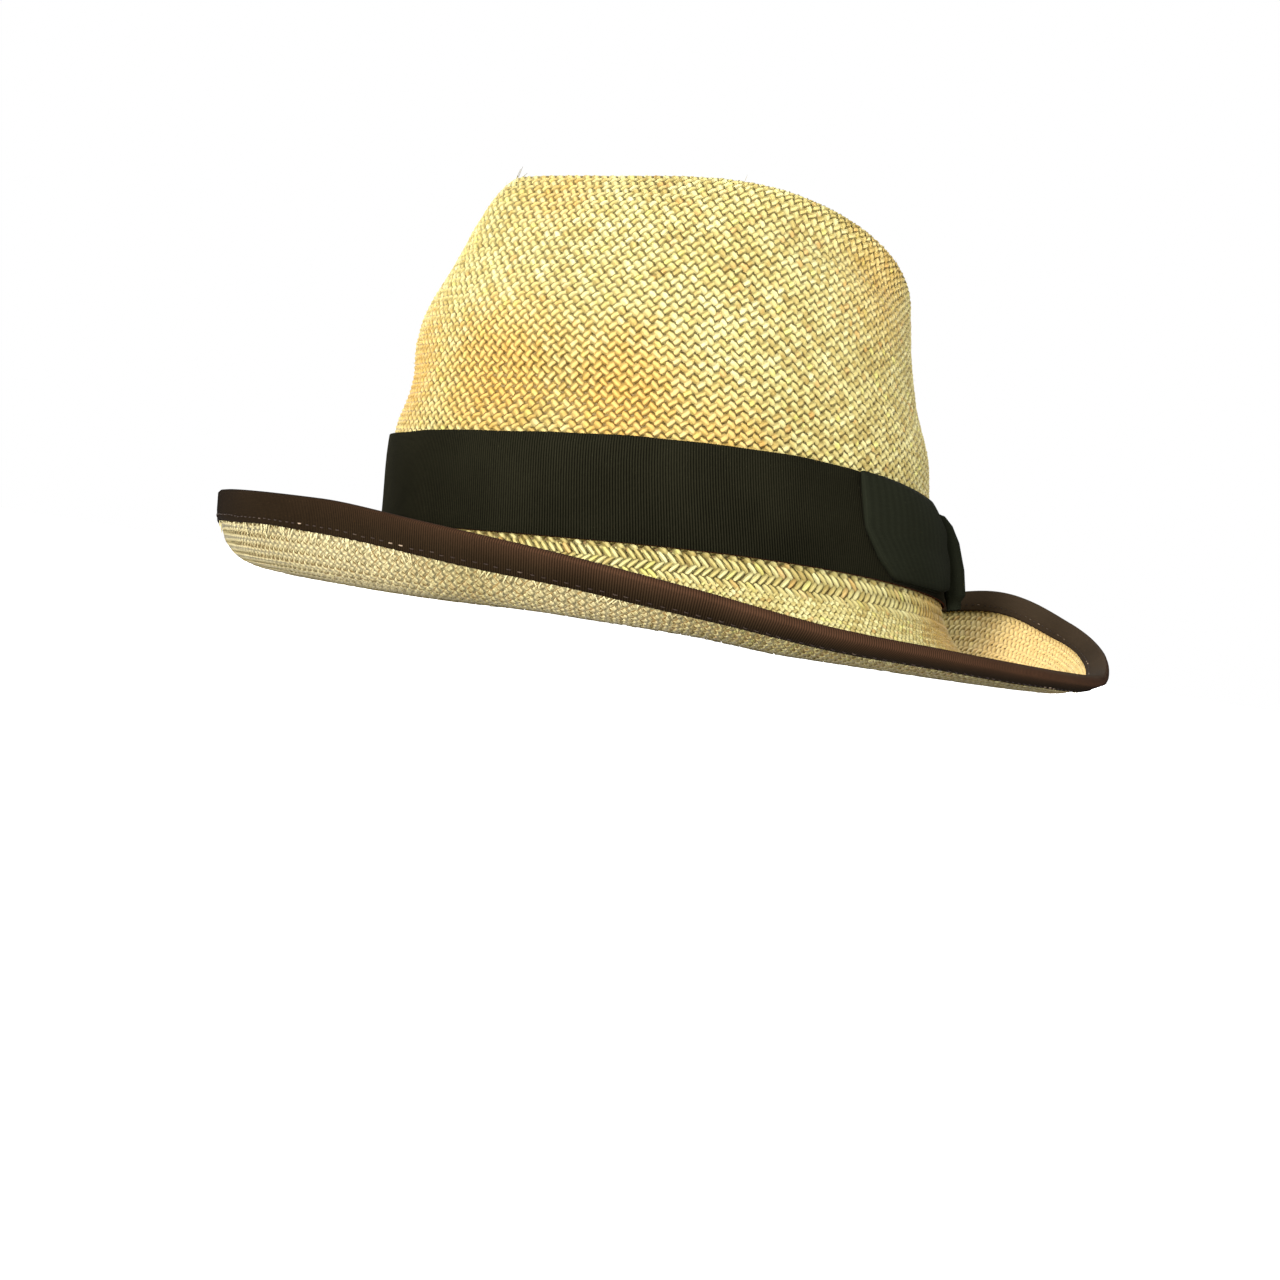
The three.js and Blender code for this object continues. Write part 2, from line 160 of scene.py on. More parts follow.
def brimPoint(angle, reach):
    turn = np.radians(angle)
    overhang, trough, edge, tip, fill = (along(brimTable, "angle", name, fromFront(angle), True)
                                         for name in ("overhang", "trough", "edge", "tip", "fill"))
    tip = np.radians(tip)
    start = crownPoint(angle, np.zeros_like(angle))[..., 2]
    foot = overhang * form["troughPlace"]
    curl = (overhang - foot) * fill
    flat = form["footEnd"] - form["footStart"]
    flatHalf = form["flatHalf"]
    fall = [(0, start), (form["breakOut"], start - form["breakDrop"]),
            (foot * form["fallEase"], trough), (foot - flatHalf, trough)]
    pull = curl * form["edgeEase"]
    rise = [(foot + flatHalf, trough), (foot + curl * form["riseEase"], trough),
            (overhang - pull * np.cos(tip), edge - pull * np.sin(tip)), (overhang, edge)]
    isFalling = reach <= form["footStart"] + flat / 2
    t = np.where(isFalling, np.minimum(reach / form["footStart"], 1),
                 np.maximum((reach - form["footEnd"]) / (1 - form["footEnd"]), 0))
    weights = ((1 - t) ** 3, 3 * (1 - t) ** 2 * t, 3 * (1 - t) * t**2, t**3)
    out, height = (sum(weight * np.where(isFalling, falling[k], rising[k])
                       for weight, falling, rising in zip(weights, fall, rise)) for k in (0, 1))
    alongFoot = (reach - form["footStart"] - flat / 2) / (flat / 2)
    out = np.where(abs(alongFoot) < 1, foot + flatHalf * alongFoot, out)
    return np.stack([(crownTable["width"][0] + out) * np.sin(turn),
                     -(crownTable["length"][0] + out) * np.cos(turn), height], -1)


# Place runs from -1 at the brim's edge over 0 at the brim line to 1 in the middle of the top.
def skinPoint(angle, place):
    angle, place = np.broadcast_arrays(angle, place)
    onBrim = brimPoint(angle, np.clip(-place, 0, 1))
    onCrown = crownPoint(angle, np.clip(place, 0, 1))
    return np.where((place < 0)[..., None], onBrim, onCrown)


def unit(vector):
    return vector / np.maximum(np.linalg.norm(vector, axis=-1, keepdims=True), 1e-9)


def skinNormal(angle, place):
    place = np.asarray(place, float)
    placeStep, angleStep = form["placeStep"], form["angleStep"]
    above, below = np.minimum(place + placeStep, 1), np.maximum(place - placeStep, -1)
    up = skinPoint(angle, above) - skinPoint(angle, below)
    around = skinPoint(angle + angleStep, place) - skinPoint(angle - angleStep, place)
    normal = unit(np.cross(around, up))
    return np.where((place > form["levelPlace"])[..., None], np.array([0.0, 0.0, 1.0]), normal)


def skinOffset(angle, place, distance):
    return skinPoint(angle, place) + skinNormal(angle, place) * np.asarray(distance, float)[..., None]


# The hat's own zero is the middle of the brim line. The solids say where that is.
strawLow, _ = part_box("straw_body")
hatOffset = np.array([0.0, (brimTable["overhang"][0] - brimTable["overhang"][-1]) / 2,
                      strawLow[2] * metre - min(brimTable["trough"]) + form["wall"]])


def addObject(name, data):
    thing = bpy.data.objects.new(name, data)
    bpy.context.scene.collection.objects.link(thing)
    return thing


# A mesh from points in the hat's millimetres. A map has a place for each point or for each face corner.
def makeMesh(name, points, quads, corners=(), maps=None, values=None):
    mesh = bpy.data.meshes.new(name)
    points = (points.reshape(-1, 3) + hatOffset) / metre
    quads = np.asarray(quads, np.int32).reshape(-1, 4)
    corners = np.asarray(corners, np.int32).reshape(-1, 3)
    loops = np.concatenate([quads.ravel(), corners.ravel()])
    totals = np.concatenate([np.full(len(quads), 4), np.full(len(corners), 3)]).astype(np.int32)
    mesh.vertices.add(len(points))
    mesh.vertices.foreach_set("co", points.ravel())
    mesh.loops.add(len(loops))
    mesh.loops.foreach_set("vertex_index", loops)
    mesh.polygons.add(len(totals))
    mesh.polygons.foreach_set("loop_start", np.concatenate([[0], np.cumsum(totals)[:-1]]).astype(np.int32))
    mesh.polygons.foreach_set("use_smooth", np.ones(len(totals), bool))
    for mapName, places in (maps or {}).items():
        layer = mesh.uv_layers.new(name=mapName)
        perLoop = places.reshape(-1, 2)
        if len(perLoop) == len(points):
            perLoop = perLoop[loops]
        layer.uv.foreach_set("vector", perLoop.astype(np.float32).ravel())
    for valueName, numbers in (values or {}).items():
        layer = mesh.attributes.new(valueName, "FLOAT", "POINT")
        layer.data.foreach_set("value", numbers.astype(np.float32).ravel())
    mesh.update(calc_edges=True)
    mesh.validate()
    return addObject(name, mesh)


# Quads over a grid of points. Its last row joins its first, and its columns may do the same.
def gridQuads(rows, columns, closeColumns):
    r = np.arange(rows)[:, None]
    c = np.arange(columns if closeColumns else columns - 1)[None, :]
    nextRow, nextColumn = (r + 1) % rows, (c + 1) % columns
    corners = np.broadcast_arrays(r * columns + c, nextRow * columns + c,
                                  nextRow * columns + nextColumn, r * columns + nextColumn)
    return np.stack(corners, -1).reshape(-1, 4)


def finishPiece(piece, material, node):
    piece.data.materials.append(material)
    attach(piece, bodyName)
    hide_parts(node)
    return piece


# An output socket. An expression on it adds Math nodes.
class Wire:
    def __init__(self, finish, socket):
        self.finish = finish
        self.socket = socket

    def __add__(self, other):
        return self.finish.maths("ADD", self, other)

    __radd__ = __add__

    def __sub__(self, other):
        return self.finish.maths("SUBTRACT", self, other)

    def __rsub__(self, other):
        return self.finish.maths("SUBTRACT", other, self)

    def __mul__(self, other):
        return self.finish.maths("MULTIPLY", self, other)

    __rmul__ = __mul__


# One material and its nodes.
class Finish:
    def __init__(self, name):
        self.material = bpy.data.materials.new(name)
        self.material.use_nodes = True
        self.tree = self.material.node_tree
        self.tree.nodes.clear()

    def add(self, kind, settings=None, values=None, output=0):
        node = self.tree.nodes.new(kind)
        for key, value in (settings or {}).items():
            if key == "stops":
                while len(node.color_ramp.elements) < len(value):
                    node.color_ramp.elements.new(1.0)
                for element, (place, colour) in zip(node.color_ramp.elements, value):
                    element.position = place
                    element.color = (*colour, 1.0)
            else:
                setattr(node, key, value)
        for key, value in (values or {}).items():
            if isinstance(value, Wire):
                self.tree.links.new(value.socket, node.inputs[key])
            else:
                node.inputs[key].default_value = value
        return Wire(self, node.outputs[output]) if node.outputs else None

    def maths(self, operation, *values):
        return self.add("ShaderNodeMath", {"operation": operation}, dict(enumerate(values)))

    def mixColours(self, factor, first, second):
        first, second = ((*c, 1.0) if isinstance(c, tuple) else c for c in (first, second))
        return self.add("ShaderNodeMix", {"data_type": "RGBA"}, {0: factor, 6: first, 7: second}, 2)

    def smoothStep(self, value, low, high):
        return self.add("ShaderNodeMapRange", {"interpolation_type": "SMOOTHSTEP"},
                        {"Value": value, "From Min": low, "From Max": high})

    def noise(self, vector, scale, detail=2.0, roughness=0.5):
        return self.add("ShaderNodeTexNoise", {}, {"Vector": vector, "Scale": scale, "Detail": detail,
                                                   "Roughness": roughness})

    def value(self, name):
        return self.add("ShaderNodeAttribute", {"attribute_name": name}, output=2)

    def place(self):
        return self.add("ShaderNodeTexCoord", output=3)

    def part(self, vector, k):
        return self.add("ShaderNodeSeparateXYZ", {}, {0: vector}, k)

    def mapParts(self, name):
        places = self.add("ShaderNodeUVMap", {"uv_map": name})
        return self.part(places, 0), self.part(places, 1)

    def bumps(self, height, relief):
        strength, distance = relief
        return self.add("ShaderNodeBump", {}, {"Strength": strength, "Distance": distance, "Height": height})

    def show(self, shader):
        self.add("ShaderNodeOutputMaterial", {}, {"Surface": shader})
        return self.material


strawLook = {
    "pale": (0.60, 0.555, 0.27),
    "middle": (0.41, 0.340, 0.118),
    "dark": (0.22, 0.135, 0.024),
    "red": (0.44, 0.21, 0.05),
    "green": (0.60, 0.58, 0.15),
    # painted shade where strands dive under and along their edges
    "cavity": (0.055, 0.035, 0.004),
    # stains, also used as painted shade in the dent hollows
    "stainAndShade": (0.46, 0.25, 0.045),
    "cream": (1.0, 0.88, 0.50),
    "gold": (0.80, 0.53, 0.20),
    "through": (0.30, 0.24, 0.08),    # light that passes through a strand
    "throughShare": 0.22,
    "roughness": 0.55,
    "gloss": 0.25,
    "relief": (0.55, 0.00022),        # strength and depth in metres
    "fibres": 3,              # grooves across one strand
    "patchScale": 34.0,
    "outlineScale": 9.0,      # of the noise that makes a spot's outline uneven
    "outlineSwing": 0.012,
    "spotRing": (0.3, 1.35),  # where a spot starts and ends to fade, as shares of its radius
    "spotShare": 0.85,
    "cavityShadeShare": 0.92,
    "stainsAndShade": [               # centre in the hat's own millimetres, radius, strength; real stains, and painted shade in the dent hollows
        ((58, -68, 42), 30, 0.95),
        ((25, -90, 46), 32, 0.9),
        ((-12, -92, 44), 30, 0.8),
        ((72, -42, 34), 24, 0.7),
        ((14, -66, 96), 22, 0.95),
        ((62, 18, 98), 28, 0.5),
        ((70, 60, -6), 26, 0.7),
    ],
    "paintedGlow": [               # the same for a painted glow where light shines through the back brim
        ((38, 132, -8), 60, 0.9),
        ((88, 104, -12), 46, 0.9),
    ],
    "lightened": [                # and for painted light from the pale floor on the front brim
        ((-20, -150, -14), 62, 0.85),
        ((40, -140, -16), 50, 0.85),
        ((92, -92, -20), 40, 0.7),
    ],
}


def makeStraw():
    look = strawLook
    f = Finish("straw")
    across, run = f.mapParts("strand")
    tone, tint, cavity = f.value("tone"), f.value("tint"), f.value("cavity")
    place = f.place()
    lengthwise = f.add("ShaderNodeCombineXYZ", {}, {
        0: across * 5.0 + tone * 31.0, 1: run * 0.22, 2: tint * 17.0})
    streak = f.noise(lengthwise, 1.6, 3.0, 0.6)
    groove = f.maths("SINE", (across + streak * 0.12) * (math.tau * look["fibres"]))
    patches = f.noise(place, look["patchScale"], 3.0)
    outline = f.noise(place, look["outlineScale"])
    shade = tone * 0.55 + streak * 0.55 + patches * 0.35 - 0.25
    colour = f.add("ShaderNodeValToRGB", {"stops": [(0.05, look["dark"]), (0.42, look["middle"]),
                                                    (0.8, look["pale"])]}, {0: shade})
    colour = f.mixColours(f.smoothStep(tint, 0.86, 0.97) * 0.45, colour, look["red"])
    colour = f.mixColours(f.smoothStep(1 - tint, 0.84, 0.97) * 0.5, colour, look["green"])
    inner, outer = look["spotRing"]
    # Painted light on the front brim, a painted glow through the back brim, and stains with painted shade in
    # the dents.
    for kind, shift in (("lightened", "cream"), ("paintedGlow", "gold"), ("stainsAndShade", "stainAndShade")):
        spots = None
        for centre, radius, strength in look[kind]:
            middle = tuple((np.array(centre) + hatOffset) / metre)
            away = f.add("ShaderNodeVectorMath", {"operation": "DISTANCE"}, {0: place, 1: middle}, 1)
            away = away + outline * look["outlineSwing"]
            spot = (1 - f.smoothStep(away, radius * inner / metre, radius * outer / metre)) * strength
            spots = spot if spots is None else f.maths("MAXIMUM", spots, spot)
        colour = f.mixColours(spots * look["spotShare"], colour, look[shift])
    # Painted shade where strands dive under and along their edges.
    colour = f.mixColours(cavity * look["cavityShadeShare"], colour, look["cavity"])
    normal = f.bumps(groove * 0.35 + streak * 0.8, look["relief"])
    main = f.add("ShaderNodeBsdfPrincipled", {}, {
        "Base Color": colour, "Roughness": look["roughness"] + streak * 0.14,
        "Specular IOR Level": look["gloss"], "Normal": normal})
    through = f.add("ShaderNodeBsdfTranslucent", {}, {"Color": (*look["through"], 1.0), "Normal": normal})
    return f.show(f.add("ShaderNodeMixShader", {}, {0: look["throughShare"], 1: main, 2: through}))


# Painted shade: the dark sheet inside the weave stands in for the shade between the strands.
coreShadeLook = {
    "dark": (0.05, 0.030, 0.005),
    "light": (0.15, 0.09, 0.016),
    "grainScale": 220.0,
    "roughness": 0.8,
    "relief": (0.5, 0.0003),
}


def makeCoreShade():
    f = Finish("straw shade core")
    grain = f.noise(f.place(), coreShadeLook["grainScale"], 3.0)
    return f.show(f.add("ShaderNodeBsdfPrincipled", {}, {
        "Base Color": f.mixColours(grain, coreShadeLook["dark"], coreShadeLook["light"]),
        "Roughness": coreShadeLook["roughness"], "Normal": f.bumps(grain, coreShadeLook["relief"])}))


bandLook = {
    "dark": (0.0015, 0.0015, 0.0009),
    "light": (0.0115, 0.0108, 0.0060),
    "edge": (0.045, 0.014, 0.006),     # rusty line along the lower selvedge
    "roughness": 0.66,
}
bowLook = {
    "dark": (0.0062, 0.0068, 0.0041),
    "light": (0.0132, 0.0146, 0.0092),
    "roughness": 0.66,
}
bindingLook = {
    "dark": (0.0034, 0.0021, 0.0011),
    "light": (0.0142, 0.0088, 0.0045),
    "worn": (0.042, 0.0200, 0.0110),   # faded along the fold on the side with the bow
    "fold": 0.52,                      # where it is folded, as a share of its width
    "paintedBackLight": (0.034, 0.0235, 0.0145),   # painted light: lighter and greyer at the back, on the upper face
    "roughness": 0.75,
}
ribbonCloth = {
    "softScale": 42.0,
    "fineScale": 900.0,
    "shine": 0.0,
    "sheen": 0.005,
    "sheenRoughness": 0.35,
    "relief": (0.5, 0.00018),
}


# Ribbed ribbon. The map "ribbon" holds the number of ribs along x and the way across the ribbon along y.
def makeRibbon(name, look, ribStrength=0.5):
    f = Finish(name)
    ribs, width = f.mapParts("ribbon")
    place = f.place()
    rib = 0.5 - f.maths("COSINE", ribs * math.tau) * 0.5
    yarn = f.noise(f.add("ShaderNodeCombineXYZ", {}, {0: ribs * 0.8, 1: width * 60.0}), 1.0, 4.0, 0.7)
    soft = f.noise(place, ribbonCloth["softScale"], 3.0)
    fine = f.noise(place, ribbonCloth["fineScale"])
    # Lighter on the raised ribs and darker in the grooves between them: painted shade, mixed with the yarn
    # and soft noise of the ribbon's own tone.
    shade = rib * ribStrength * 1.5 + yarn * 0.4 + soft * 0.5 - 0.45
    colour = f.mixColours(shade, look["dark"], look["light"])
    if "edge" in look:
        colour = f.mixColours((1 - f.smoothStep(width, 0.0, 0.05)) * 0.9, colour, look["edge"])
    if "worn" in look:
        leftward = f.smoothStep(f.part(place, 0), 0.01, 0.11)
        fromFold = f.maths("ABSOLUTE", width - look["fold"])
        lightened = (1 - f.smoothStep(fromFold, 0.05, 0.30)) * (0.08 + leftward * 0.92)
        colour = f.mixColours(lightened * (rib * 0.7 + soft * 0.5 - 0.05), colour, look["worn"])
    if "paintedBackLight" in look:
        # Painted light on the binding's upper face at the back.
        backward = f.smoothStep(f.part(place, 1), 0.0, 0.07)
        upper = 1 - f.smoothStep(width, 0.38, 0.50)
        colour = f.mixColours(backward * upper * (rib * 0.3 + soft * 0.6 + 0.2), colour, look["paintedBackLight"])
    height = rib * ribStrength + yarn * 0.35 + fine * 0.2
    return f.show(f.add("ShaderNodeBsdfPrincipled", {}, {
        "Base Color": colour, "Roughness": look["roughness"] + fine * 0.12 - 0.06,
        "Specular IOR Level": ribbonCloth["shine"], "Sheen Weight": ribbonCloth["sheen"],
        "Sheen Roughness": ribbonCloth["sheenRoughness"], "Normal": f.bumps(height, ribbonCloth["relief"])}))


threadLook = {
    "dark": (0.010, 0.006, 0.005),
    "light": (0.30, 0.22, 0.15),
    "rare": 16.0,             # the higher, the fewer stitches are light
    "roughness": 0.55,
    "gloss": 0.04,
    "relief": (0.6, 0.0001),
}


def makeThread():
    f = Finish("thread")
    look = threadLook
    across, run = f.mapParts("strand")
    twist = f.maths("SINE", run * 22.0 + across * 6.0) * 0.5 + 0.5
    isLight = f.maths("POWER", f.value("tone"), look["rare"])
    colour = f.mixColours(isLight * 0.8 + twist * 0.06, look["dark"], look["light"])
    return f.show(f.add("ShaderNodeBsdfPrincipled", {}, {
        "Base Color": colour, "Roughness": look["roughness"] + twist * 0.1,
        "Specular IOR Level": look["gloss"], "Normal": f.bumps(twist, look["relief"])}))


strawFinish = makeStraw()
coreShadeFinish = makeCoreShade()
bandFinish = makeRibbon("band ribbon", bandLook)
bowFinish = makeRibbon("bow ribbon", bowLook, ribStrength=0.12)
bindingFinish = makeRibbon("binding ribbon", bindingLook)
threadFinish = makeThread()
print("finishes made")

weave = {
    "rise": 0.42,            # how far a strand swings over and under
    "riseChance": 0.12,      # spread of that, as a share of it
    "wander": 0.045,         # spread of the strands to the side, as a share of their pitch
    "thick": 0.62,
    "thickShare": 0.42,      # and at most this share of the pitch
    "fill": 1.04,            # strand width as a share of its pitch
    "fillChance": 0.07,
    "tuck": 0.35,            # how far a strand's ends sink
    "edge": 0.62,            # painted shade: how dark a strand's edges are
    "rowStep": 1.43,         # from one ring of crossings to the next
    "strands": 141,          # of each direction round the crown
    "brimStrands": 310,
    "brimRowStep": 1.1,
    "curlRowStep": 1.36,
}

# Arc length down the hat, averaged round it, so that rings of crossings are evenly spaced.
measurePlaces = np.linspace(-1, 1, 1201)
measured = skinPoint(np.arange(0, 360, 15.0)[:, None], measurePlaces[None, :])
arcLength = np.concatenate([[0], np.cumsum(np.linalg.norm(np.diff(measured, axis=1), axis=-1).mean(0))])


def placeAt(length):
    return np.interp(length, arcLength, measurePlaces)


def lengthAt(place):
    return np.interp(place, measurePlaces, arcLength)


# The lines that strands follow on the skin, as arrays of strands by samples.
def layCourse(angle, place):
    centre = skinPoint(angle, place)
    normal = skinNormal(angle, place)
    side = unit(np.cross(unit(np.gradient(centre, axis=1)), normal))
    return {"centre": centre, "normal": normal, "side": side}


# Closed strands with a three-sided section, swept along a course at a lift above it.
def sweepStrands(name, course, lift, width, thick, shades):
    centre, normal, side = course["centre"], course["normal"], course["side"]
    strands, samples = centre.shape[:2]
    width, thick, lift = (np.broadcast_to(v, (strands, samples))[..., None] for v in (width, thick, lift))
    middle = centre + lift * normal
    left = middle - side * width / 2 - normal * thick * 0.2
    right = middle + side * width / 2 - normal * thick * 0.2
    top = middle + normal * thick * 0.5
    points = np.stack([left, top, right], 2)
    first = (np.arange(strands) * samples * 3)[:, None]
    last = first + (samples - 1) * 3
    sections = first + np.arange(samples - 1) * 3
    quads = sections[..., None, None] + np.array([[0, 1, 4, 3], [1, 2, 5, 4], [2, 0, 3, 5]])
    caps = np.concatenate([first + [2, 1, 0], last + [0, 1, 2]])
    run = np.cumsum(np.linalg.norm(np.diff(centre, axis=1, prepend=centre[:, :1]), axis=-1), axis=1)
    strandMap = np.stack(np.broadcast_arrays(np.array([0.0, 0.5, 1.0]), run[..., None]), -1)
    bakeMap = np.zeros((strands, samples - 1, 3, 4, 2))
    share = np.arange(samples) / (samples - 1) * 0.998 + 0.001
    strand = np.arange(strands)[:, None, None]
    for k, (low, high) in enumerate([(0.04, 0.32), (0.32, 0.60), (0.66, 0.96)]):
        bakeMap[:, :, k, :, 0] = np.stack([share[:-1], share[:-1], share[1:], share[1:]], -1)[None]
        bakeMap[:, :, k, :, 1] = (strand + np.array([low, high, high, low])) / strands
    capMap = np.repeat(np.array([[0.5, 0.5]]), len(caps) * 3, axis=0)
    values = {key: np.repeat(np.broadcast_to(shades[key], (strands, samples))[..., None], 3, -1)
              for key in ("tone", "tint", "cavity")}
    # Painted shade along each strand's two edges.
    values["cavity"][..., [0, 2]] = shades["edge"] + (1 - shades["edge"]) * values["cavity"][..., [0, 2]]
    maps = {"OFBake": np.concatenate([bakeMap.reshape(-1, 2), capMap]), "strand": strandMap}
    return makeMesh(name, points, quads, caps, maps, values)


# Per-strand and per-cell chance for the colours of a set of strands, with their painted shade where they
# dive under and along their edges.
def strandShades(strands, cell, cavity, edge):
    cells = cell.max() + 1
    tone = 0.45 * chance.uniform(0, 1, (strands, 1)) + 0.55 * chance.uniform(0, 1, (strands, cells))[:, cell]
    tint = 0.5 + (chance.uniform(0, 1, (strands, cells))[:, cell] - 0.5) * 0.8
    tint = tint + (chance.uniform(0, 1, (strands, 1)) - 0.5) * 0.35
    return {"tone": tone, "tint": tint, "cavity": cavity, "edge": edge}


def plainShades(tone, cavity=0.0):
    return {"tone": tone, "tint": 0.5, "cavity": cavity, "edge": 0.3}


def layStraw(name, course, lift, width, thick, shades):
    finishPiece(sweepStrands(name, course, lift, width, thick, shades), strawFinish, "straw_body")


# One direction of strands between two rings of the hat. Lean is 1 or -1, and a strand is over the
# other direction at every second ring of crossings.
def weaveStrands(name, zone, lean):
    strands, perRow = zone["strands"], zone["perRow"]
    start, end = lengthAt(zone["from"]), lengthAt(zone["to"])
    rows = max(int(round((end - start) / zone["rowStep"])), 1)
    samples = rows * perRow + 1
    row = np.arange(samples) / perRow
    drift = chance.normal(0, 1, (strands, rows + 2))
    ripple = chance.normal(0, 1, (strands, rows + 2))
    cell = np.minimum(np.floor(row + 0.5).astype(int), rows + 1)
    turn = 360.0 / strands
    lastCell = np.minimum(np.floor(row).astype(int), rows)
    wander = weave["wander"] * (drift[:, cell] * 0.6 + ripple[:, lastCell] * 0.4)
    angle = (np.arange(strands)[:, None] + lean * row[None, :] / 2 + wander) * turn
    place = placeAt(start + (end - start) * row / rows)[None, :]
    uneven = 1 + weave["riseChance"] * ripple[:, cell]
    swing = np.cos(math.pi * row)[None, :] * lean * weave["rise"] * uneven
    course = layCourse(angle, place)
    beside = skinPoint(angle + turn, place) - course["centre"]
    pitch = abs((course["side"] * beside).sum(-1))
    width = pitch * weave["fill"] * (1 + weave["fillChance"] * drift[:, cell])
    lift = swing - form["wall"] / 2
    lift[:, [0, -1]] -= weave["tuck"]
    # Painted shade, darkest where a strand dives under the other direction.
    cavity = np.clip(0.12 - np.clip(swing / weave["rise"], -1, 1) * 0.8, 0, 1)
    thick = np.minimum(weave["thick"], pitch * weave["thickShare"])
    shades = strandShades(strands, cell, cavity, zone.get("edge", weave["edge"]))
    layStraw(name, course, lift, width, thick, shades)


# Where the strands run. Neighbouring zones overlap a little.
zones = [
    # The brim zones' edge values set the painted shade on their strands' edges.
    {"name": "straw_brim_curl", "strands": weave["brimStrands"], "from": -0.99, "to": -0.53,
     "rowStep": weave["curlRowStep"], "perRow": 2, "edge": 0.4},
    {"name": "straw_brim_flat", "strands": weave["brimStrands"], "from": -0.534, "to": -0.115,
     "rowStep": weave["brimRowStep"], "perRow": 2, "edge": 0.3},
    {"name": "straw_foot_of_crown", "strands": weave["strands"], "from": -0.02, "to": 0.165,
     "rowStep": weave["rowStep"], "perRow": 1},
    {"name": "straw_crown", "strands": weave["strands"], "from": 0.16, "to": 0.765,
     "rowStep": weave["rowStep"], "perRow": 2},
]
topRings = {
    "start": 0.762,
    "ends": [0.855, 0.905, 0.935, 0.956, 0.971, 0.982, 0.991, 0.998],
    "strandShare": 2 / 3,    # of the ring before it
    "overlap": 0.003,
}
ringStrands, ringPlace = weave["strands"], topRings["start"]
for ring, nextPlace in enumerate(topRings["ends"]):
    ringStrands = int(round(ringStrands * topRings["strandShare"]))
    zones.append({"name": f"straw_top_ring_{ring + 1}", "strands": ringStrands, "from": ringPlace,
                  "to": nextPlace, "rowStep": weave["rowStep"], "perRow": 2})
    ringPlace = nextPlace - topRings["overlap"]

for zone in zones:
    for direction, lean in (("rising", 1), ("falling", -1)):
        weaveStrands(f"{zone['name']}_{direction}", zone, lean)
print("straw woven")

# Slanted rows where the crown turns into the brim.
slanted = {
    "rows": 3,
    "step": 2.75,            # from row to row down the skin
    "strands": 250,          # round the hat in each row
    "lineLength": 573.0,     # round the brim line
    "stroke": 4.9,
    "slant": (0.70, 0.72),   # shares of the stroke that run round the hat and down it
    "width": 2.0,
    "thick": 0.6,
    "bow": 0.8,              # how far a stroke's middle stands off the brim
    "sink": 0.3,
    "start": 0.2,            # top of the first row below the brim line
    "samples": 7,
}


def makeSlantedRow(k):
    count = slanted["strands"]
    lean = 1 if k % 2 else -1
    samples = np.linspace(-0.5, 0.5, slanted["samples"])
    middle = np.arange(count)[:, None] + 0.5 * (k % 2) + chance.normal(0, 0.06, (count, 1))
    reach = slanted["stroke"] * samples * (1 + chance.normal(0, 0.05, (count, 1)))
    aroundStep = 360.0 / count
    pitch = slanted["lineLength"] / count
    aroundShare, downShare = slanted["slant"]
    angle = (middle + reach * aroundShare / pitch) * aroundStep
    down = slanted["start"] + slanted["step"] * (k + 0.5) - lean * reach * downShare
    course = layCourse(angle, placeAt(lengthAt(0.0) - down))
    bow = 1 - (2 * samples) ** 2
    lift = -form["wall"] / 2 - slanted["sink"] + slanted["bow"] * bow[None, :]
    lift = lift + chance.normal(0, 0.05, (count, 1))
    width = slanted["width"] * (0.82 + 0.18 * bow[None, :]) * (1 + chance.normal(0, 0.06, (count, 1)))
    # Painted shade, darker towards a stroke's ends where it dives under.
    cavity = np.clip(0.75 - bow * 1.2, 0, 1)[None, :]
    shades = strandShades(count, np.zeros(slanted["samples"], int), cavity, weave["edge"])
    layStraw(f"straw_slanted_row_{k + 1}", course, lift, width, slanted["thick"], shades)


for k in range(slanted["rows"]):
    makeSlantedRow(k)


core = {
    "angleStep": 3.0,
    "brim": (-0.97, 0, 24),  # first place, last place and how many
    "crown": (0.02, 0.985, 46),
    "depth": 0.15,           # below the middle of the weave
    "halfThick": 0.1,
}


# A thin dark core in the middle of the weave, which closes the pinholes between the strands: a dark sheet
# painted as the shade seen through them.
def makeShadeSheet():
    angles = np.arange(0, 360, core["angleStep"])[:, None]
    places = np.concatenate([np.linspace(*core["brim"]), np.linspace(*core["crown"])])[None, :]
    level = -form["wall"] / 2 - core["depth"]
    points = np.concatenate([skinOffset(angles, places, level + core["halfThick"]),
                             skinOffset(angles, places, level - core["halfThick"])[:, ::-1]], 1)
    piece = makeMesh("straw_shade_core", points, gridQuads(angles.size, points.shape[1], True))
    finishPiece(piece, coreShadeFinish, "straw_body")


makeShadeSheet()

loose = {
    "fringe": 420,           # short ends that show under the binding's lower edge
    "fringeWidth": 0.42,
    "whiskers": 150,
    "whiskerWidth": 0.16,
    "crownPlaces": (0.2, 0.74),      # where the whiskers start
    "brimPlaces": (-0.8, -0.15),
    "strayWidth": 0.55,
    "strays": [              # angle, place, length in mm, lean round the hat, rise
        (-4, 0.70, 5.6, 0.15, 0.85),
        (-5, 0.695, 5.0, 0.2, 0.8),
        (-7, 0.70, 3.6, -0.35, 0.75),
        (0, 0.695, 3.2, 0.5, 0.6),
        (-11, 0.70, 2.8, -0.7, 0.5),
        (-37, 0.36, 7, -0.2, 0.45),
        (-36, 0.30, 4.5, 0.3, 0.4),
    ],
}


